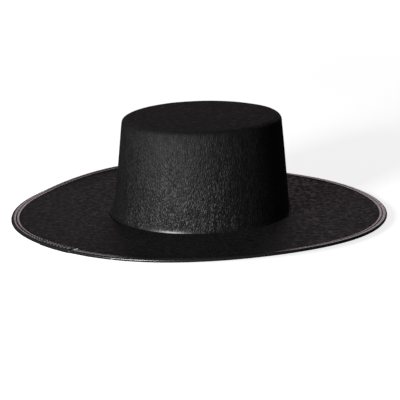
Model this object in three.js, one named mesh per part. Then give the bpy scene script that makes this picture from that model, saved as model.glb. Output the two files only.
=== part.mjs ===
// Wide-brim hat: a flat-topped felt crown and a broad waved brim pressed in one piece,
// with a folded tape sewn round the brim's edge.
// Millimetres and degrees, +Z up. X runs across the head, -Y is the front, and Z = 0 is the surface
// that the brim rests on. Ring angles are counted from +X towards +Y.

import * as THREE from 'three';
import { mergeVertices } from 'three/addons/utils/BufferGeometryUtils.js';

// Driving dimensions of the felt
const FELT_THICKNESS = 1.6;
const CROWN_FOOT = { halfWidth: 88.7, halfLength: 95.5 };
const CROWN_TOP = { halfWidth: 78.2, halfLength: 90.5 };
const CROWN_HEIGHT = 98.4;
const CROWN_OFFSET = { x: 2, y: 0.8 };
const SHOULDER_RADIUS = 6;
const FOOT_RADIUS = 3;
const TOP_DOME = 1;
const BRIM = { halfWidth: 190, halfLength: 199.8 };
const BRIM_FACE_AT_CROWN = 4.3;

// The rim rises and falls round the brim: each row is one wave, with its number of lobes, its height
// and the angle of a crest. Where their sum is below the floor, the brim lies flat on it.
const RIM_WAVES = [
  { lobes: 2, height: 4.2, crest: 136 },
  { lobes: 3, height: 1.8, crest: 12 },
  { lobes: 4, height: 1.3, crest: 48 },
];
const RIM_MEAN_RISE = 3;
const FLOOR_BLEND = 1;

// Driving dimensions of the folded tape
const RIM_RADIUS = 1.6;
const TAPE_WALL = 0.45;
const TAPE_GAP = 0.15;

// Outer face of the tape from its inner margin to the rim: the distance in from the rim and the height
// above the felt's middle. The dip is where the stitches pull it in.
const TAPE_SECTION = [
  { inset: 8, level: 1.4 },
  { inset: 6.4, level: 1.55 },
  { inset: 4.7, level: 1.3 },
  { inset: 3.9, level: 1.55 },
  { inset: 3, level: RIM_RADIUS },
  { inset: RIM_RADIUS, level: RIM_RADIUS },
];

// Fineness of the rings and arcs
const SEGMENTS = 96;
const SHOULDER_STEPS = 5;
const FOOT_STEPS = 3;
const RIM_STEPS = 4;
const TOP_SHARES = [0, 0.5, 0.88];
const WALL_SHARES = [1 / 3, 2 / 3];
const BRIM_SHARES = [0.2, 0.4, 0.6, 0.75, 0.88, 1];

// Sizes that follow from the driving ones
const HALF_FELT = FELT_THICKNESS / 2;
const CAVITY_LEVEL = HALF_FELT + TAPE_GAP;
const CAVITY_INSET = RIM_RADIUS - TAPE_WALL;
const FELT_EDGE_INSET = CAVITY_INSET + TAPE_GAP;
const FOOT_MIDDLE = BRIM_FACE_AT_CROWN - HALF_FELT;
const BRIM_START = grown(CROWN_FOOT, FOOT_RADIUS);
const FELT_EDGE = grown(BRIM, -FELT_EDGE_INSET);

function grown(oval, amount) {
  return { halfWidth: oval.halfWidth + amount, halfLength: oval.halfLength + amount };
}

function between(first, last, share) {
  return {
    halfWidth: THREE.MathUtils.lerp(first.halfWidth, last.halfWidth, share),
    halfLength: THREE.MathUtils.lerp(first.halfLength, last.halfLength, share),
  };
}

// Height of the rim above its lowest place, eased on to the floor
function rimRise(angle) {
  let rise = RIM_MEAN_RISE;
  for (const wave of RIM_WAVES) {
    rise += wave.height * Math.cos(wave.lobes * (angle - THREE.MathUtils.degToRad(wave.crest)));
  }
  if (rise <= -FLOOR_BLEND) {
    return 0;
  }
  if (rise >= FLOOR_BLEND) {
    return rise;
  }
  return (rise + FLOOR_BLEND) ** 2 / (4 * FLOOR_BLEND);
}

// A ring of the surface: its half axes, its height, how far it follows the crown's offset,
// and how far it follows the wave of the rim
function crownRing(oval, height) {
  return { ...oval, height, crownShare: 1, waveShare: 0 };
}

function brimRing(oval, level) {
  const share = (oval.halfWidth - BRIM_START.halfWidth) / (FELT_EDGE.halfWidth - BRIM_START.halfWidth);
  const eased = THREE.MathUtils.smoothstep(share, 0, 1);
  const height = THREE.MathUtils.lerp(FOOT_MIDDLE, RIM_RADIUS, eased) + level;
  return { ...oval, height, crownShare: Math.max(0, 1 - share), waveShare: share * share };
}

// One face of the felt from the crown's middle to the brim's edge, the given depth below the outer face
function feltFace(depth) {
  const topHeight = BRIM_FACE_AT_CROWN + CROWN_HEIGHT;
  const shoulderHeight = topHeight - SHOULDER_RADIUS;
  const footHeight = BRIM_FACE_AT_CROWN + FOOT_RADIUS;
  const wallAt = (height) => between(CROWN_FOOT, CROWN_TOP, (height - BRIM_FACE_AT_CROWN) / CROWN_HEIGHT);
  const shoulder = wallAt(shoulderHeight);
  const flatTop = grown(shoulder, -SHOULDER_RADIUS);
  const rings = [];
  for (const share of TOP_SHARES) {
    const dome = TOP_DOME * (1 - share * share);
    rings.push(crownRing(between({ halfWidth: 0, halfLength: 0 }, flatTop, share), topHeight + dome - depth));
  }
  for (let step = 0; step <= SHOULDER_STEPS; step += 1) {
    const turn = (Math.PI / 2) * (step / SHOULDER_STEPS);
    const radius = SHOULDER_RADIUS - depth;
    rings.push(crownRing(grown(flatTop, radius * Math.sin(turn)), shoulderHeight + radius * Math.cos(turn)));
  }
  for (const share of WALL_SHARES) {
    const height = THREE.MathUtils.lerp(shoulderHeight, footHeight, share);
    rings.push(crownRing(grown(wallAt(height), -depth), height));
  }
  for (let step = 0; step < FOOT_STEPS; step += 1) {
    const turn = (Math.PI / 2) * (step / FOOT_STEPS);
    const radius = FOOT_RADIUS + depth;
    const oval = grown(BRIM_START, -radius * Math.cos(turn));
    rings.push(crownRing(oval, footHeight - radius * Math.sin(turn)));
  }
  rings.push(brimRing(BRIM_START, HALF_FELT - depth));
  for (const share of BRIM_SHARES) {
    rings.push(brimRing(between(BRIM_START, FELT_EDGE, share), HALF_FELT - depth));
  }
  return rings;
}

// Crown and brim in one: the rings run down the inside, round the brim's edge and back up the outside
function feltRings() {
  const inside = feltFace(FELT_THICKNESS);
  const outside = feltFace(0);
  return [...inside, ...outside.reverse()];
}

// The tape's section as a closed loop: under the brim, round the rim, over the brim, and back inside the fold
function tapeRings() {
  const ring = (inset, level) => brimRing(grown(BRIM, -inset), level);
  const margin = TAPE_SECTION[0].inset;
  const under = TAPE_SECTION.map((row) => ring(row.inset, -row.level));
  const over = TAPE_SECTION.map((row) => ring(row.inset, row.level)).reverse();
  const rim = [];
  for (let step = 1; step < RIM_STEPS; step += 1) {
    const turn = Math.PI * (step / RIM_STEPS - 0.5);
    rim.push(ring(RIM_RADIUS * (1 - Math.cos(turn)), RIM_RADIUS * Math.sin(turn)));
  }
  const inside = [
    ring(margin, CAVITY_LEVEL),
    ring(CAVITY_INSET, CAVITY_LEVEL),
    ring(CAVITY_INSET, -CAVITY_LEVEL),
    ring(margin, -CAVITY_LEVEL),
  ];
  return [...under, ...rim, ...over, ...inside, under[0]];
}

// A lathed skin whose round rings are drawn out to ovals, moved with the crown and waved with the rim
function ovalLathe(rings) {
  const profile = rings.map((ring) => new THREE.Vector2(ring.halfWidth, ring.height));
  const lathe = new THREE.LatheGeometry(profile, SEGMENTS);
  const position = lathe.getAttribute('position');
  for (let i = 0; i < position.count; i += 1) {
    const ring = rings[i % rings.length];
    const column = Math.floor(i / rings.length) % SEGMENTS;
    const angle = (2 * Math.PI * column) / SEGMENTS;
    position.setXYZ(
      i,
      CROWN_OFFSET.x * ring.crownShare + ring.halfWidth * Math.cos(angle),
      CROWN_OFFSET.y * ring.crownShare + ring.halfLength * Math.sin(angle),
      ring.height + rimRise(angle) * ring.waveShare,
    );
  }
  lathe.deleteAttribute('normal');
  lathe.deleteAttribute('uv');
  return withoutFlatFaces(mergeVertices(lathe));
}

// The lathe's faces that shrink to a line where the skin meets the axis are dropped
function withoutFlatFaces(geometry) {
  const index = geometry.getIndex().array;
  const kept = [];
  for (let i = 0; i < index.length; i += 3) {
    const [a, b, c] = [index[i], index[i + 1], index[i + 2]];
    if (a !== b && b !== c && c !== a) {
      kept.push(a, b, c);
    }
  }
  geometry.setIndex(kept);
  geometry.computeVertexNormals();
  return geometry;
}

// Pressed felt, matt and almost black
function feltBody() {
  const felt = new THREE.MeshStandardMaterial({ color: 0x1b1a1b, roughness: 0.92, metalness: 0 });
  const mesh = new THREE.Mesh(ovalLathe(feltRings()), felt);
  mesh.name = 'felt_body';
  return mesh;
}

// Folded tape with a satin face
function brimBinding() {
  const satin = new THREE.MeshStandardMaterial({ color: 0x232224, roughness: 0.38, metalness: 0 });
  const mesh = new THREE.Mesh(ovalLathe(tapeRings()), satin);
  mesh.name = 'brim_binding';
  return mesh;
}

const hat = new THREE.Group();
hat.add(feltBody());
hat.add(brimBinding());

export default hat;
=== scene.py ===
import math
from collections import namedtuple

import bpy
from mathutils import Matrix, Vector


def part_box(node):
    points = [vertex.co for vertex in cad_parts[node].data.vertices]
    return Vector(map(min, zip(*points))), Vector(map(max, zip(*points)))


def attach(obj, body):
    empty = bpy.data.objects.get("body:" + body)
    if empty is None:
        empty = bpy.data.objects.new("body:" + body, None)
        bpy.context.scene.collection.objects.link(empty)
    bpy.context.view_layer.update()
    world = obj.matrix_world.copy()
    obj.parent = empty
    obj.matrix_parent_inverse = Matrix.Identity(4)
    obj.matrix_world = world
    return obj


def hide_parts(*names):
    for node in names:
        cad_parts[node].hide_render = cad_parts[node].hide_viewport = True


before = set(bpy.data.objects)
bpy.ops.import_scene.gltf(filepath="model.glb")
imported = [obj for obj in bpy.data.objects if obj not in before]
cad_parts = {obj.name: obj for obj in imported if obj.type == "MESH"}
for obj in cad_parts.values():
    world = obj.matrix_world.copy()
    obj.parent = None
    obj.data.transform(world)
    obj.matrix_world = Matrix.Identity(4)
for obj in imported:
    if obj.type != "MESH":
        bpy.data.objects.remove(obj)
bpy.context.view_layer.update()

# Felt body: one piece of black pressed felt, drawn over a block while hot, so the flat-topped crown
# and the broad brim are a single skin about 1.6 mm thick. The corner at the crown's foot is pressed
# hard and has a dull polish. The brim's edge ends inside the folded tape.
FELT_THICKNESS = 0.0016
CROWN_FOOT = Vector((0.0887, 0.0955))
CROWN_TOP = Vector((0.0782, 0.0905))
CROWN_HEIGHT = 0.0984
CROWN_OFFSET = Vector((0.002, 0.0008))
SHOULDER_RADIUS = 0.006
FOOT_RADIUS = 0.003
FOOT_FLARE = 0.0007
FOOT_FLARE_CURVE = 1.4
CREASE_DEPTH = 0.0009
CREASE_WIDTH = 0.0018
CREASE_SHARES = (0, 0.35, 0.7)
TOP_DOME = 0.001
BRIM_FACE_AT_CROWN = 0.0043
RIM_RADIUS = 0.0016
BRIM_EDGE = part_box("brim_binding")[1].xy
FELT_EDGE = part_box("felt_body")[1].xy
BRIM_START = CROWN_FOOT + Vector((FOOT_RADIUS, FOOT_RADIUS))

# The waves of the rim: the lobes of each, its height, and the angle of a crest counted from +X
RIM_WAVES = ((2, 0.0042, 136), (3, 0.0018, 12), (4, 0.0013, 48))
RIM_MEAN_RISE = 0.003
FLOOR_BLEND = 0.001

# The crown's foot has sunk and spread a little on one side: how far, up to what height above the brim,
# and over what share of the brim's width
LOW_SIDE = math.radians(196)
FOOT_SINK = 0.0016
FOOT_SPREAD = 0.0032
SINK_RISE = 0.035
SINK_REACH = 0.5

# How hard the felt is pressed, from 0 on the top and the brim to 1 at the crown's foot. The wall is
# looser towards its top, and the shoulder grows hard over a share of its turn.
WALL_PRESSED = 0.65
WALL_LOOSER = 0.24
WALL_LOOSER_CURVE = 1.5
SHOULDER_HARD_FROM = 0.05
SHOULDER_HARD_OVER = 0.3

# The skin's columns round the hat, its rows from the middle outwards, and the block's shallow dents,
# which fade towards the rim
FELT_COLUMNS = 224
TOP_ROWS = 10
SHOULDER_ROWS = 14
WALL_ROWS = 22
FOOT_ROWS = 8
BRIM_ROWS = 30
FELT_SMOOTHING = math.radians(32)
DENT_DEPTH = 0.0007
DENT_WIDTH = 0.045
DENTS_FADE = 1.15

Ring = namedtuple("Ring", "oval height crown wave pressed")


def grown(oval, amount):
    return oval + Vector((amount, amount))


def eased(share):
    share = min(1, max(0, share))
    return share * share * (3 - 2 * share)


def rim_rise(angle):
    """Height of the rim above its lowest place, eased on to the floor."""
    rise = RIM_MEAN_RISE
    for lobes, height, crest in RIM_WAVES:
        rise += height * math.cos(lobes * (angle - math.radians(crest)))
    if rise <= -FLOOR_BLEND:
        return 0
    if rise >= FLOOR_BLEND:
        return rise
    return (rise + FLOOR_BLEND) ** 2 / (4 * FLOOR_BLEND)


def brim_ring(oval, level):
    share = max(0, (oval.x - BRIM_START.x) / (FELT_EDGE.x - BRIM_START.x))
    foot_middle = BRIM_FACE_AT_CROWN - FELT_THICKNESS / 2
    height = foot_middle + (RIM_RADIUS - foot_middle) * eased(share) + level
    return Ring(oval, height, max(0, 1 - share), share * share, 0)


def felt_rings():
    """Rings of the felt's outer face, from the middle of the crown's top to the brim's edge."""
    top = BRIM_FACE_AT_CROWN + CROWN_HEIGHT
    shoulder_height = top - SHOULDER_RADIUS
    foot_height = BRIM_FACE_AT_CROWN + FOOT_RADIUS

    def wall(height):
        return CROWN_FOOT.lerp(CROWN_TOP, (height - BRIM_FACE_AT_CROWN) / CROWN_HEIGHT)

    flat_top = grown(wall(shoulder_height), -SHOULDER_RADIUS)
    rings = []
    for row in range(1, TOP_ROWS):
        share = row / TOP_ROWS
        rings.append(Ring(flat_top * share, top + TOP_DOME * (1 - share * share), 1, 0, 0))
    for row in range(SHOULDER_ROWS + 1):
        turn = math.pi / 2 * row / SHOULDER_ROWS
        oval = grown(flat_top, SHOULDER_RADIUS * math.sin(turn))
        hard = eased((row / SHOULDER_ROWS - SHOULDER_HARD_FROM) / SHOULDER_HARD_OVER)
        pressed = WALL_PRESSED * (1 - WALL_LOOSER) * hard
        rings.append(Ring(oval, shoulder_height + SHOULDER_RADIUS * math.cos(turn), 1, 0, pressed))
    for row in range(1, WALL_ROWS):
        height = shoulder_height + (foot_height - shoulder_height) * row / WALL_ROWS
        pressed = WALL_PRESSED * (1 - WALL_LOOSER * (1 - row / WALL_ROWS) ** WALL_LOOSER_CURVE)
        rings.append(Ring(wall(height), height, 1, 0, pressed))
    for row in range(FOOT_ROWS):
        share = row / FOOT_ROWS
        oval = grown(wall(foot_height), FOOT_FLARE * share ** FOOT_FLARE_CURVE)
        pressed = WALL_PRESSED + (1 - WALL_PRESSED) * share
        drop = (FOOT_RADIUS + CREASE_DEPTH) * share
        rings.append(Ring(oval, foot_height - drop, 1, 0, pressed))
    crease = grown(wall(foot_height), FOOT_FLARE)
    for share in CREASE_SHARES:
        oval = grown(crease, CREASE_WIDTH * share)
        sunk = brim_ring(oval, FELT_THICKNESS / 2 - CREASE_DEPTH * (1 - share) ** 2)
        rings.append(sunk._replace(pressed=(1 - share) ** 3))
    brim_start = grown(crease, CREASE_WIDTH)
    for row in range(BRIM_ROWS + 1):
        rings.append(brim_ring(brim_start.lerp(FELT_EDGE, row / BRIM_ROWS), FELT_THICKNESS / 2))
    return rings


def foot_share(ring):
    """1 at the crown's foot, fading up the wall and out over the brim."""
    up = max(0, ring.height - BRIM_FACE_AT_CROWN) / SINK_RISE
    out = (1 - ring.crown) / SINK_REACH
    return eased(1 - up - out)


def ring_centre(ring):
    return Vector((*(CROWN_OFFSET * ring.crown), ring.height))


def draw_skin(name, rings, columns):
    """Starts from a circle of edges and draws the skin out from it ring by ring."""
    bpy.ops.object.select_all(action="DESELECT")
    bpy.ops.mesh.primitive_circle_add(vertices=columns, radius=1, location=ring_centre(rings[0]))
    bpy.ops.object.transform_apply(location=True)
    skin = bpy.context.active_object
    skin.name = name
    skin.data.name = name
    bpy.ops.object.mode_set(mode="EDIT")
    bpy.ops.mesh.select_mode(type="EDGE")
    bpy.ops.mesh.select_all(action="SELECT")
    bpy.ops.transform.resize(value=(*rings[0].oval, 1), center_override=ring_centre(rings[0]))
    for last, ring in zip(rings, rings[1:]):
        step = ring_centre(ring) - ring_centre(last)
        bpy.ops.mesh.extrude_edges_move(TRANSFORM_OT_translate={"value": step})
        scale = (ring.oval.x / last.oval.x, ring.oval.y / last.oval.y, 1)
        bpy.ops.transform.resize(value=scale, center_override=ring_centre(ring))
    bpy.ops.object.mode_set(mode="OBJECT")
    return skin


def node(tree, kind, inputs=None, **settings):
    """Adds a shader node. An input is a value, or the socket that feeds it."""
    made = tree.nodes.new(kind)
    for name, value in settings.items():
        setattr(made, name, value)
    for socket, value in (inputs or {}).items():
        if isinstance(value, bpy.types.NodeSocket):
            tree.links.new(value, made.inputs[socket])
        else:
            made.inputs[socket].default_value = value
    return made


def reckon(tree, operation, *values):
    """The result of one sum on values that change over the surface."""
    return node(tree, "ShaderNodeMath", dict(enumerate(values)), operation=operation).outputs["Value"]


def ramp(tree, value, low, high, first=0, last=1):
    """Runs from first to last while the value runs from low to high, and stays there past them."""
    inputs = {"Value": value, "From Min": low, "From Max": high, "To Min": first, "To Max": last}
    return node(tree, "ShaderNodeMapRange", inputs).outputs["Result"]


def noise(tree, place, scale, detail=2, roughness=0.5):
    """A node of soft random marks, the given number of them in a metre."""
    inputs = {"Vector": place, "Scale": scale, "Detail": detail, "Roughness": roughness}
    return node(tree, "ShaderNodeTexNoise", inputs)


def blended(tree, share, first, last):
    """One colour where the share is 0, the other where it is 1."""
    inputs = {"Factor": share, 6: first, 7: last}
    return node(tree, "ShaderNodeMix", inputs, data_type="RGBA").outputs[2]


def blended_value(tree, share, first, last):
    inputs = {0: share, 2: first, 3: last}
    return node(tree, "ShaderNodeMix", inputs, data_type="FLOAT").outputs[0]


def moved(tree, place, marks, reach):
    """The place, moved about by the colours of the marks."""
    inputs = {0: marks, 1: (reach, reach, reach), 2: place}
    return node(tree, "ShaderNodeVectorMath", inputs, operation="MULTIPLY_ADD").outputs["Vector"]


def raised(tree, relief, strength, height):
    inputs = {"Height": relief, "Strength": strength, "Distance": height}
    return node(tree, "ShaderNodeBump", inputs).outputs["Normal"]


def new_material(name):
    material = bpy.data.materials.new(name)
    material.use_nodes = True
    return material, material.node_tree, material.node_tree.nodes["Principled BSDF"]


def finish_piece(piece, material):
    """The piece takes its material and rides on the hat."""
    piece.data.materials.clear()
    piece.data.materials.append(material)
    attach(piece, "root")


rings = felt_rings()
felt = draw_skin("pressed_felt", rings, FELT_COLUMNS)

# Each ring waves with the rim, and the crown's foot sinks and spreads on its low side
free_skin = felt.vertex_groups.new(name="free_skin")
for number, ring in enumerate(rings):
    columns = range(number * FELT_COLUMNS, (number + 1) * FELT_COLUMNS)
    free_skin.add(list(columns), 1 - eased(ring.wave * DENTS_FADE), "REPLACE")
    for column in columns:
        place = felt.data.vertices[column].co
        across = place - ring_centre(ring)
        angle = math.atan2(across.y / ring.oval.y, across.x / ring.oval.x)
        place.z += rim_rise(angle) * ring.wave
        slack = foot_share(ring) * max(0, math.cos(angle - LOW_SIDE))
        place.z -= FOOT_SINK * slack
        place.xy += across.xy.normalized() * FOOT_SPREAD * slack ** 2
hardness = [ring.pressed for ring in rings for column in range(FELT_COLUMNS)]
felt.data.attributes.new("pressed", "FLOAT", "POINT").data.foreach_set("value", hardness)

# The hole in the middle of the top is closed with a fan of faces
bpy.ops.object.mode_set(mode="EDIT")
bpy.ops.mesh.select_all(action="DESELECT")
bpy.ops.object.mode_set(mode="OBJECT")
for vertex in felt.data.vertices[:FELT_COLUMNS]:
    vertex.select = True
for edge in felt.data.edges:
    edge.select = all(felt.data.vertices[end].select for end in edge.vertices)
bpy.ops.object.mode_set(mode="EDIT")
bpy.ops.mesh.edge_face_add()
bpy.ops.mesh.poke()
bpy.ops.mesh.select_all(action="SELECT")
bpy.ops.mesh.normals_make_consistent(inside=False)
bpy.ops.object.mode_set(mode="OBJECT")
crown_middle = felt.data.polygons[-1]
if crown_middle.normal.z < 0:
    felt.data.flip_normals()

# Shallow dents of the pressing, then the sheet's thickness, added inwards
dents = bpy.data.textures.new("dents of the pressing", "CLOUDS")
dents.noise_scale = DENT_WIDTH
dents.noise_depth = 1
press = felt.modifiers.new("dents", "DISPLACE")
press.texture = dents
press.strength = DENT_DEPTH
press.mid_level = 0.5
press.vertex_group = "free_skin"
bpy.ops.object.modifier_apply(modifier="dents")
thicken = felt.modifiers.new("thickness", "SOLIDIFY")
thicken.thickness = FELT_THICKNESS
thicken.offset = -1
bpy.ops.object.modifier_apply(modifier="thickness")
bpy.ops.object.shade_smooth_by_angle(angle=FELT_SMOOTHING)

# The felt's colours, and how close its marks of each kind lie. The grain is drawn out upwards, where
# the wall was stretched, then swayed and stirred so that no mark is straight.
FELT_DARK = (0.0040, 0.0038, 0.0039, 1)
FELT_LIGHT = (0.0128, 0.0112, 0.0116, 1)
# The pale fibre colour is a painted highlight: glints of fibres catching the light
FELT_FIBRE_GLINT = (0.034, 0.031, 0.032, 1)
DRAWN_OUT = (1, 1, 0.38)
SWAYS_PER_METRE = 70
SWAY_REACH = 0.008
STIRS_PER_METRE = 260
STIR_REACH = 0.0026
CRACK_SPACING = 0.0018
CRACK_REACH = 0.32
FIBRE_SPACING = 0.0009
FINE_GRAIN = (3, 0.6)
TUFTS_PER_METRE = 230
MARKS_PER_METRE = 215

# How the marks darken and lighten the felt. The top was not ironed, so it stays rougher, and its colour
# is darkened with painted shade.
LOOSE_FELT_TONE = 0.85
CLOUDS_FROM = 0.8
CLOUDS_FULL = 1.2
# Where the pale fibre specks, painted glints of fibres catching the light, show, and how strongly
GLINT_FROM = 0.55
GLINT_FULL = 0.72
GLINT_SHARE = 0.55
TOP_FROM_HEIGHT = 0.09
TOP_FULL_HEIGHT = 0.1
TOP_PAINTED_SHADE = 0.7
TOP_NAP = 0.2

# How far the marks stand up, each as a share of the pads. On the pressed foot less of them is left.
TUFT_RELIEF = 1.6
LOOSE_MARK_RELIEF = 1.5
FIRM_MARK_RELIEF = 0.3
FIBRE_RELIEF = 0.7
MEAN_RELIEF = 2
GRAIN_FADES_FROM = 0.66
GRAIN_FADED = 0.86
GRAIN_LEFT = 0.25
GRAIN_STRENGTH = 0.64
GRAIN_HEIGHT = 0.0005

# Roughness of the nap and of the ironed wall, and the polish of the pressed lip
MARK_FROM = 0.38
MARK_FULL = 0.62
FLAT_NAP = 0.6
RAISED_NAP = 0.94
WORN_FELT = 0.81
WORN_FIBRES = 0.36
IRONING = 0.585
POLISH_FROM = 0.78
POLISH_FULL = 0.96
LIP_POLISH = 0.5
LIP_ROUGHNESS = 0.34
FELT_GLOSS = 0.17
FELT_GLOSS_TINT = (1, 0.91, 0.93, 1)

felt_material, tree, felt_shader = new_material("pressed felt")
place = node(tree, "ShaderNodeTexCoord").outputs["Object"]
drawn = node(tree, "ShaderNodeMapping", {"Vector": place, "Scale": DRAWN_OUT}).outputs["Vector"]
sway = noise(tree, drawn, SWAYS_PER_METRE, detail=1).outputs["Color"]
swayed = moved(tree, drawn, sway, SWAY_REACH)
stir = noise(tree, drawn, STIRS_PER_METRE, detail=2).outputs["Color"]
stirred = moved(tree, swayed, stir, STIR_REACH)

# Pads of matted fibre with dark cracks between them, which show where the felt is firm
cells = node(
    tree, "ShaderNodeTexVoronoi", {"Vector": stirred, "Scale": 1 / CRACK_SPACING},
    feature="DISTANCE_TO_EDGE",
).outputs["Distance"]
cracked = node(
    tree, "ShaderNodeMapRange", {"Value": cells, "From Max": CRACK_REACH},
    interpolation_type="SMOOTHSTEP",
).outputs["Result"]
pressed = node(tree, "ShaderNodeAttribute", attribute_name="pressed").outputs["Fac"]
firmness = ramp(tree, pressed, 0, WALL_PRESSED)
pads = blended_value(tree, firmness, LOOSE_FELT_TONE, cracked)

# Colour: tufts and marks cloud the pads, the top is darkened with painted shade, and pale fibre specks,
# painted glints of fibres catching the light, lie over all
fibre_noise = noise(tree, stirred, 1 / FIBRE_SPACING, *FINE_GRAIN).outputs["Fac"]
glinting_fibres = ramp(tree, fibre_noise, GLINT_FROM, GLINT_FULL)
tufts = noise(tree, swayed, TUFTS_PER_METRE, *FINE_GRAIN).outputs["Fac"]
marks = noise(tree, swayed, MARKS_PER_METRE, *FINE_GRAIN).outputs["Fac"]
clouds = ramp(tree, reckon(tree, "ADD", tufts, marks), CLOUDS_FROM, CLOUDS_FULL)
height = node(tree, "ShaderNodeSeparateXYZ", {"Vector": place}).outputs["Z"]
on_top = ramp(tree, height, TOP_FROM_HEIGHT, TOP_FULL_HEIGHT)
# Painted shade: the felt's colour darkens towards the crown's top
painted_top_shade = reckon(tree, "MULTIPLY_ADD", on_top, -TOP_PAINTED_SHADE, 1)
pads_with_painted_shade = reckon(tree, "MULTIPLY", pads, painted_top_shade)
tone = reckon(tree, "MULTIPLY", pads_with_painted_shade, clouds)
ground = blended(tree, tone, FELT_DARK, FELT_LIGHT)
# Painted highlights: pale fibre specks over the felt stand in for fibres catching the light
painted_fibre_glint = reckon(tree, "MULTIPLY", glinting_fibres, GLINT_SHARE)
colour = blended(tree, painted_fibre_glint, ground, FELT_FIBRE_GLINT)

# Relief: pads, tufts, marks and fibres together, flattened about their mean on the pressed foot
mark_relief = ramp(tree, pressed, 0, WALL_PRESSED, LOOSE_MARK_RELIEF, FIRM_MARK_RELIEF)
grain = reckon(tree, "MULTIPLY_ADD", tufts, TUFT_RELIEF, pads)
rolling = reckon(tree, "MULTIPLY_ADD", marks, mark_relief, grain)
relief = reckon(tree, "MULTIPLY_ADD", fibre_noise, FIBRE_RELIEF, rolling)
left = ramp(tree, pressed, GRAIN_FADES_FROM, GRAIN_FADED, 1, GRAIN_LEFT)
about_mean = reckon(tree, "SUBTRACT", relief, MEAN_RELIEF)
smoothed = reckon(tree, "MULTIPLY", about_mean, left)
bump = raised(tree, smoothed, GRAIN_STRENGTH, GRAIN_HEIGHT)

# Roughness: the nap of the loose felt gives way to the ironed face of the wall
worn = reckon(tree, "MULTIPLY_ADD", fibre_noise, WORN_FIBRES, WORN_FELT)
ironed = reckon(tree, "MULTIPLY_ADD", firmness, -IRONING, worn)
marked = ramp(tree, marks, MARK_FROM, MARK_FULL, FLAT_NAP, RAISED_NAP)
nap = reckon(tree, "MULTIPLY_ADD", on_top, TOP_NAP, marked)
roughness = blended_value(tree, firmness, nap, ironed)
polish = ramp(tree, pressed, POLISH_FROM, POLISH_FULL, 0, LIP_POLISH)
tree.links.new(colour, felt_shader.inputs["Base Color"])
tree.links.new(roughness, felt_shader.inputs["Roughness"])
tree.links.new(bump, felt_shader.inputs["Normal"])
tree.links.new(polish, felt_shader.inputs["Coat Weight"])
felt_shader.inputs["Coat Roughness"].default_value = LIP_ROUGHNESS
felt_shader.inputs["Specular IOR Level"].default_value = FELT_GLOSS
felt_shader.inputs["Specular Tint"].default_value = FELT_GLOSS_TINT
finish_piece(felt, felt_material)
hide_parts("felt_body")

# Binding: a black satin tape folded over the brim's edge. It is soft and about a third of a
# millimetre thick, swells over the felt's edge, and is drawn down in a groove by its stitches. It
# starts and ends at the front left, where its first stretch lies over its last.
TAPE_THICKNESS = 0.0003
TAPE_START = math.radians(245.5)

# The lap of the tape's ends: its turn, how far the upper end is lifted and the tape beside it sinks,
# and over what turns
LAP_TURN = math.radians(12.6)
LAP_LIFT = 0.00042
LAP_EASE = math.radians(0.9)
LAP_SINK = 0.0008
LAP_SINK_EASE = math.radians(0.6)

# Puckers between the stitches, higher towards the lap, slanting a little and never quite alike
STITCHES = 244
PUCKER_HEIGHT = 0.00012
LAP_PUCKER_HEIGHT = 0.0008
PUCKER_SPREAD = math.radians(12)
PUCKER_SLANT = 0.45
PUCKER_HOLLOW = 0.3
PUCKER_WANDER = 0.25
WANDER_RATES = (0.37, 0.11)
COLUMNS_PER_STITCH = 6
RIM_STEPS = 6
TAPE_SMOOTHING = math.radians(50)

# Outer face of the tape over the brim, from its inner margin to the fold: the distance in from the
# rim, the height above the felt's middle, and how far the puckers lift it
GROOVE_INSET = 0.0047
TAPE_ROWS = (
    (0.0080, 0.00112, 0.1),
    (0.0078, 0.00136, 0.5),
    (0.0073, 0.00153, 0.9),
    (0.0066, 0.00162, 1.0),
    (0.0060, 0.00167, 1.0),
    (0.0054, 0.00162, 0.9),
    (0.0050, 0.00142, 0.5),
    (GROOVE_INSET, 0.00113, 0.1),
    (0.0044, 0.00142, 0.5),
    (0.0040, 0.00160, 0.9),
    (0.0034, 0.00168, 1.0),
    (0.0026, 0.00169, 1.0),
)

# Under the brim the tape lies a little flatter, and hardly puckers
UNDER_FLATNESS = 0.92
UNDER_PUCKER = 0.1
RIM_PUCKER = 0.5

SectionPoint = namedtuple("SectionPoint", "inset level out_inset out_level pucker")


def tape_section():
    """The tape's outer face from its margin under the brim, round the rim, to its margin on top."""
    points = []
    for inset, level, pucker in TAPE_ROWS:
        points.append(SectionPoint(inset, -level * UNDER_FLATNESS, 0, -1, pucker * UNDER_PUCKER))
    for step in range(RIM_STEPS + 1):
        turn = math.pi * (step / RIM_STEPS - 0.5)
        inset = RIM_RADIUS * (1 - math.cos(turn))
        level = RIM_RADIUS * math.sin(turn)
        pucker = RIM_PUCKER * (1 + math.sin(turn)) / 2
        points.append(SectionPoint(inset, level, -math.cos(turn), math.sin(turn), pucker))
    for inset, level, pucker in reversed(TAPE_ROWS):
        points.append(SectionPoint(inset, level, 0, 1, pucker))
    return points


def lap_share(turn):
    """1 where the tape's first stretch lies over its last, 0 past it."""
    return 1 - eased((turn - LAP_TURN) / LAP_EASE)


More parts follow.
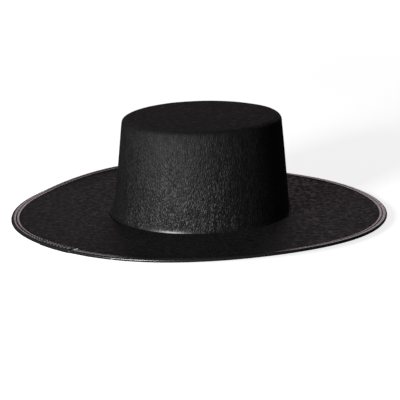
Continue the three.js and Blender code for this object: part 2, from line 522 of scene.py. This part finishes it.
def tape_place(turn, point):
    """A place on the tape, the given turn past its start and at the given point of its section."""
    angle = TAPE_START + turn
    stitch = STITCHES * turn / (2 * math.pi)
    lap = lap_share(turn)

    # The puckers between the stitches, which are highest at the lap
    slant = PUCKER_SLANT * (point.inset - GROOVE_INSET) / GROOVE_INSET
    drift = math.prod(math.sin(stitch * rate) for rate in WANDER_RATES)
    wander = 1 - PUCKER_WANDER + PUCKER_WANDER * drift
    crowded = max(lap, eased((turn - 2 * math.pi) / PUCKER_SPREAD + 1))
    height = PUCKER_HEIGHT + (LAP_PUCKER_HEIGHT - PUCKER_HEIGHT) * crowded
    ridge = max(0, -math.cos(2 * math.pi * (stitch + slant))) - PUCKER_HOLLOW
    pucker = height * wander * point.pucker * ridge

    # The end that lies underneath sinks, and so does the upper one just past the lap
    under = eased((turn - 2 * math.pi) / LAP_SINK_EASE + 1)
    past = 1 - min(1, abs(turn - LAP_TURN - LAP_EASE) / LAP_EASE)
    lift = pucker + LAP_LIFT * lap - LAP_SINK * point.pucker * max(under, eased(past))
    ring = brim_ring(grown(BRIM_EDGE, -point.inset - lift * point.out_inset),
                     point.level + lift * point.out_level)
    return Vector((
        CROWN_OFFSET.x * ring.crown + ring.oval.x * math.cos(angle),
        CROWN_OFFSET.y * ring.crown + ring.oval.y * math.sin(angle),
        ring.height + rim_rise(angle) * ring.wave,
    ))


# A flat grid, as long as the turn of the tape and as wide as its section, is wrapped round the rim
section = tape_section()
tape_turn = 2 * math.pi + LAP_TURN
tape_columns = round(STITCHES * COLUMNS_PER_STITCH * tape_turn / (2 * math.pi))
bpy.ops.object.select_all(action="DESELECT")
bpy.ops.mesh.primitive_grid_add(x_subdivisions=tape_columns, y_subdivisions=len(section) - 1, size=1)
tape = bpy.context.active_object
tape.name = "folded_tape"
tape.data.name = "folded_tape"
for vertex in tape.data.vertices:
    row = round((vertex.co.y + 0.5) * (len(section) - 1))
    vertex.co = tape_place((vertex.co.x + 0.5) * tape_turn, section[row])
thicken = tape.modifiers.new("thickness", "SOLIDIFY")
thicken.thickness = TAPE_THICKNESS
thicken.offset = -1
bpy.ops.object.modifier_apply(modifier="thickness")
bpy.ops.object.shade_smooth_by_angle(angle=TAPE_SMOOTHING)

# The satin has fine ribs across the tape, and is a little worn. In Blender a band of a wave texture
# repeats every 2 pi over 20 of its coordinate.
TAPE_DARK = (0.005, 0.005, 0.0052, 1)
TAPE_LIGHT = (0.018, 0.0176, 0.0188, 1)
TAPE_WIDTH = 0.0187
RIB_SPACING = 0.00042
WAVE_RADIANS = 20
RIB_WOBBLE = 0.6
RIB_STRENGTH = 0.2
RIB_HEIGHT = 0.0001
WEAR_PER_METRE = 420
NEW_SATIN = 0.18
WORN_SATIN = 0.34
TAPE_GLOSS = 0.43

tape_material, tree, tape_shader = new_material("satin tape")
flat = node(tree, "ShaderNodeUVMap", uv_map="UVMap").outputs["UV"]
tape_length = tape_turn * (BRIM_EDGE.x + BRIM_EDGE.y) / 2
measured = node(
    tree, "ShaderNodeMapping", {"Vector": flat, "Scale": (tape_length, TAPE_WIDTH, 1)},
).outputs["Vector"]
rib_scale = 1 / RIB_SPACING / WAVE_RADIANS * math.pi * 2
ribs = node(
    tree, "ShaderNodeTexWave",
    {"Vector": measured, "Scale": rib_scale, "Distortion": RIB_WOBBLE, "Detail": 1},
    wave_type="BANDS", bands_direction="X",
).outputs["Fac"]
wear = noise(tree, measured, WEAR_PER_METRE, detail=3).outputs["Fac"]
mixed = reckon(tree, "MULTIPLY", ribs, wear)
colour = blended(tree, mixed, TAPE_DARK, TAPE_LIGHT)
roughness = ramp(tree, wear, 0, 1, NEW_SATIN, WORN_SATIN)
bump = raised(tree, mixed, RIB_STRENGTH, RIB_HEIGHT)
tree.links.new(colour, tape_shader.inputs["Base Color"])
tree.links.new(roughness, tape_shader.inputs["Roughness"])
tree.links.new(bump, tape_shader.inputs["Normal"])
tape_shader.inputs["Specular IOR Level"].default_value = TAPE_GLOSS
finish_piece(tape, tape_material)
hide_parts("brim_binding")

# Stitches: one row of black thread sewn right through the tape and the brim, in the groove that it
# pulls. Each stitch shows about three millimetres of thread, on top and underneath.
STITCH_LENGTH = 0.0034
THREAD_THICKNESS = 0.00042
STITCH_SLANT = math.radians(7)
THREAD_PROUD = 0.15
THREAD_DARK = (0.012, 0.0115, 0.012, 1)
THREAD_LIGHT = (0.024, 0.023, 0.024, 1)
THREAD_ROUGHNESS = 0.75
THREAD_GLOSS = 0.2
TWISTS_PER_METRE = 2600
TWIST_STRENGTH = 0.4
TWIST_HEIGHT = 0.0001

# One stitch is a ball drawn out to a stretch of thread, and a copy of it is laid at each place
bpy.ops.object.select_all(action="DESELECT")
bpy.ops.mesh.primitive_uv_sphere_add(segments=8, ring_count=6, radius=0.5)
stitch = bpy.context.active_object
bpy.ops.object.mode_set(mode="EDIT")
bpy.ops.mesh.select_all(action="SELECT")
bpy.ops.transform.resize(value=(THREAD_THICKNESS, THREAD_THICKNESS, STITCH_LENGTH))
bpy.ops.object.mode_set(mode="OBJECT")
bpy.ops.object.shade_smooth()

groove_rows = [point for point in section if point.inset == GROOVE_INSET]
stitches = []
for number in range(STITCHES):
    turn = 2 * math.pi * (number + 0.5) / STITCHES
    quarter = 2 * math.pi / STITCHES / 4
    for groove in groove_rows:
        middle = tape_place(turn, groove)
        ahead = tape_place(turn + quarter, groove)
        along = (ahead - tape_place(turn - quarter, groove)).normalized()
        out = Vector((0, 0, groove.out_level))
        out = (out - along * out.dot(along)).normalized()
        along = Matrix.Rotation(STITCH_SLANT, 3, out) @ along
        side = out.cross(along)
        copy = stitch.copy()
        copy.data = stitch.data.copy()
        turned = Matrix((side, out, along)).transposed().to_4x4()
        copy.data.transform(Matrix.Translation(middle + out * THREAD_THICKNESS * THREAD_PROUD) @ turned)
        bpy.context.collection.objects.link(copy)
        stitches.append(copy)
bpy.ops.object.select_all(action="DESELECT")
for copy in stitches:
    copy.select_set(True)
bpy.context.view_layer.objects.active = stitches[0]
bpy.ops.object.join()
thread = bpy.context.active_object
thread.name = "binding_stitches"
thread.data.name = "binding_stitches"
bpy.data.objects.remove(stitch)

# The twist of a thread, from its darkest to its lightest colour, for both threads
twisted = bpy.data.node_groups.new("twisted thread", "ShaderNodeTree")
twisted.interface.new_socket("Dark", in_out="INPUT", socket_type="NodeSocketColor")
twisted.interface.new_socket("Light", in_out="INPUT", socket_type="NodeSocketColor")
twisted.interface.new_socket("Color", in_out="OUTPUT", socket_type="NodeSocketColor")
twisted.interface.new_socket("Normal", in_out="OUTPUT", socket_type="NodeSocketVector")
given = node(twisted, "NodeGroupInput").outputs
place = node(twisted, "ShaderNodeTexCoord").outputs["Object"]
twist = noise(twisted, place, TWISTS_PER_METRE, detail=2).outputs["Fac"]
colour = blended(twisted, twist, given["Dark"], given["Light"])
bump = raised(twisted, twist, TWIST_STRENGTH, TWIST_HEIGHT)
node(twisted, "NodeGroupOutput", {"Color": colour, "Normal": bump})

thread_material, tree, thread_shader = new_material("sewing thread")
surface = node(tree, "ShaderNodeGroup", node_tree=twisted)
surface.inputs["Dark"].default_value = THREAD_DARK
surface.inputs["Light"].default_value = THREAD_LIGHT
tree.links.new(surface.outputs["Color"], thread_shader.inputs["Base Color"])
tree.links.new(surface.outputs["Normal"], thread_shader.inputs["Normal"])
thread_shader.inputs["Roughness"].default_value = THREAD_ROUGHNESS
thread_shader.inputs["Specular IOR Level"].default_value = THREAD_GLOSS
finish_piece(thread, thread_material)

# Thread ends: two small tufts of pale thread, where the sewing of the binding stops. Each is a few
# bent strands that stand out of the tape, one beside the lap and one further along near the rim.
STRAND_THICKNESS = 0.00022
STRAND_LENGTH = 0.0022
STRANDS_PER_TUFT = 5
TUFT_WIDTH = 0.0006
ENDS_DARK = (0.42, 0.41, 0.40, 1)
ENDS_LIGHT = (0.74, 0.73, 0.71, 1)
ENDS_ROUGHNESS = 0.6

# The turn of each tuft past the tape's start, and its distance in from the rim
TUFTS = ((math.radians(13.8), 0.0068), (math.radians(28.0), 0))
NEARBY_TURN = 0.001

# How a strand stands, as shares of its length: fanned along the tape, leaning to one side or the
# other, rising out of it, then curling and drooping at its end
STRAND_FAN = 1.5
STRAND_LEAN = 0.25
STRAND_RISE = 0.55
STRAND_CURL = 0.5
CURL_STEP = 3
STRAND_DROOP = 0.35
STRAND_STEPS = 6

strands = []
for turn, inset in TUFTS:
    root = min(section[len(section) // 2:], key=lambda point: abs(point.inset - inset))
    foot = tape_place(turn, root)
    ahead = tape_place(turn + NEARBY_TURN, root)
    along = (ahead - tape_place(turn - NEARBY_TURN, root)).normalized()
    up = Vector((0, 0, 1))
    out = up.cross(along) * root.out_inset + up * root.out_level
    across = out.cross(along)
    for number in range(STRANDS_PER_TUFT):
        share = number / (STRANDS_PER_TUFT - 1) - 0.5
        side = across * STRAND_LEAN * (1 - 2 * (number % 2))
        lean = along * share * STRAND_FAN + side + out * STRAND_RISE
        bend = along * STRAND_CURL * math.cos(CURL_STEP * number) - out * STRAND_DROOP
        bpy.ops.curve.primitive_bezier_curve_add()
        strand = bpy.context.active_object
        first, last = strand.data.splines[0].bezier_points
        for point in (first, last):
            point.handle_left_type = "FREE"
            point.handle_right_type = "FREE"
        first.co = foot + along * share * TUFT_WIDTH
        first.handle_left = first.co
        first.handle_right = first.co + lean * STRAND_LENGTH * 0.5
        last.co = first.co + (lean + bend) * STRAND_LENGTH
        last.handle_left = last.co - bend * STRAND_LENGTH * 0.5
        last.handle_right = last.co
        strand.data.resolution_u = STRAND_STEPS
        strand.data.bevel_depth = STRAND_THICKNESS / 2
        strand.data.bevel_resolution = 1
        strand.data.use_fill_caps = True
        strands.append(strand)
bpy.ops.object.select_all(action="DESELECT")
for strand in strands:
    strand.select_set(True)
bpy.context.view_layer.objects.active = strands[0]
bpy.ops.object.convert(target="MESH")
bpy.ops.object.join()
bpy.ops.object.mode_set(mode="EDIT")
bpy.ops.mesh.select_all(action="SELECT")
bpy.ops.mesh.remove_doubles(threshold=0.000001)
bpy.ops.object.mode_set(mode="OBJECT")
ends = bpy.context.active_object
ends.name = "thread_ends"
ends.data.name = "thread_ends"
bpy.ops.object.shade_smooth_by_angle(angle=TAPE_SMOOTHING)

ends_material, tree, ends_shader = new_material("pale thread")
surface = node(tree, "ShaderNodeGroup", node_tree=twisted)
surface.inputs["Dark"].default_value = ENDS_DARK
surface.inputs["Light"].default_value = ENDS_LIGHT
tree.links.new(surface.outputs["Color"], ends_shader.inputs["Base Color"])
tree.links.new(surface.outputs["Normal"], ends_shader.inputs["Normal"])
ends_shader.inputs["Roughness"].default_value = ENDS_ROUGHNESS
finish_piece(ends, ends_material)

# Studio: a pale floor that glows a little, as a white photo table does, a broad soft lamp low at the
# front left, a white board behind, and the camera at the photograph's angle.
CAMERA_TURN = math.radians(26.82)
CAMERA_RISE = math.radians(13.99)
CAMERA_DISTANCE = 1.5625
CAMERA_AIM = Vector((-0.0001, 0, 0.0141))
CAMERA_LENS = 136.83
CAMERA_SENSOR = 36
CAMERA_REACH = 50
LAMP_AIM = Vector((0, 0, 0.05))
TABLE_SIZE = 16
TABLE_GREY = (0.86, 0.86, 0.86, 1)
TABLE_WHITE = (0.9, 0.9, 0.9, 1)
TABLE_GLOW = (0.8, 0.8, 0.8, 1)
TABLE_BOUNCE = (0.08, 0.08, 0.08, 1)
TABLE_MARKS_PER_METRE = 3
TABLE_ROUGHNESS = 0.9
AIR_COLOUR = (1, 1, 1, 1)
AIR_LIGHT = 0.05


def direction(turn, rise):
    """Unit vector from the hat, turned from the front towards the wearer's left, and raised."""
    return Vector((math.sin(turn) * math.cos(rise), -math.cos(turn) * math.cos(rise), math.sin(rise)))


def add_lamp(name, turn, rise, distance, width, height, power, colour):
    bpy.ops.object.light_add(type="AREA")
    lamp = bpy.context.active_object
    lamp.name = name
    lamp.data.shape = "RECTANGLE"
    lamp.data.size = width
    lamp.data.size_y = height
    lamp.data.energy = power
    lamp.data.color = colour
    away = direction(math.radians(turn), math.radians(rise))
    lamp.location = away * distance + LAMP_AIM
    lamp.rotation_euler = away.to_track_quat("Z", "Y").to_euler()
    lamp.visible_camera = False


bpy.ops.object.select_all(action="DESELECT")
bpy.ops.mesh.primitive_plane_add(size=TABLE_SIZE)
floor = bpy.context.active_object
floor.name = "floor"
floor_material, tree, floor_shader = new_material("photo table")
place = node(tree, "ShaderNodeTexCoord").outputs["Object"]
mottle = noise(tree, place, TABLE_MARKS_PER_METRE).outputs["Fac"]
pale = blended(tree, mottle, TABLE_GREY, TABLE_WHITE)
seen = node(tree, "ShaderNodeLightPath").outputs["Is Camera Ray"]
colour = blended(tree, seen, TABLE_BOUNCE, pale)
tree.links.new(colour, floor_shader.inputs["Base Color"])
tree.links.new(seen, floor_shader.inputs["Emission Strength"])
floor_shader.inputs["Emission Color"].default_value = TABLE_GLOW
floor_shader.inputs["Roughness"].default_value = TABLE_ROUGHNESS
floor_shader.inputs["Specular IOR Level"].default_value = 0
floor.data.materials.append(floor_material)

add_lamp(
    "front lamp", turn=-7, rise=7.5, distance=1.6, width=0.4, height=0.55,
    power=55, colour=(0.95, 1.0, 0.99),
)
add_lamp(
    "white board", turn=204, rise=18.5, distance=2.4, width=1.2, height=0.9,
    power=5.7, colour=(1.0, 0.82, 0.86),
)
world = bpy.data.worlds.new("studio air")
world.use_nodes = True
world.node_tree.nodes["Background"].inputs["Color"].default_value = AIR_COLOUR
world.node_tree.nodes["Background"].inputs["Strength"].default_value = AIR_LIGHT
bpy.context.scene.world = world

bpy.ops.object.camera_add()
camera = bpy.context.active_object
camera.data.lens = CAMERA_LENS
camera.data.sensor_width = CAMERA_SENSOR
back = direction(CAMERA_TURN, CAMERA_RISE)
camera.location = CAMERA_AIM + back * CAMERA_DISTANCE
camera.rotation_euler = back.to_track_quat("Z", "Y").to_euler()
camera.data.clip_end = CAMERA_REACH
bpy.context.scene.camera = camera
bpy.context.scene.view_settings.view_transform = "Standard"
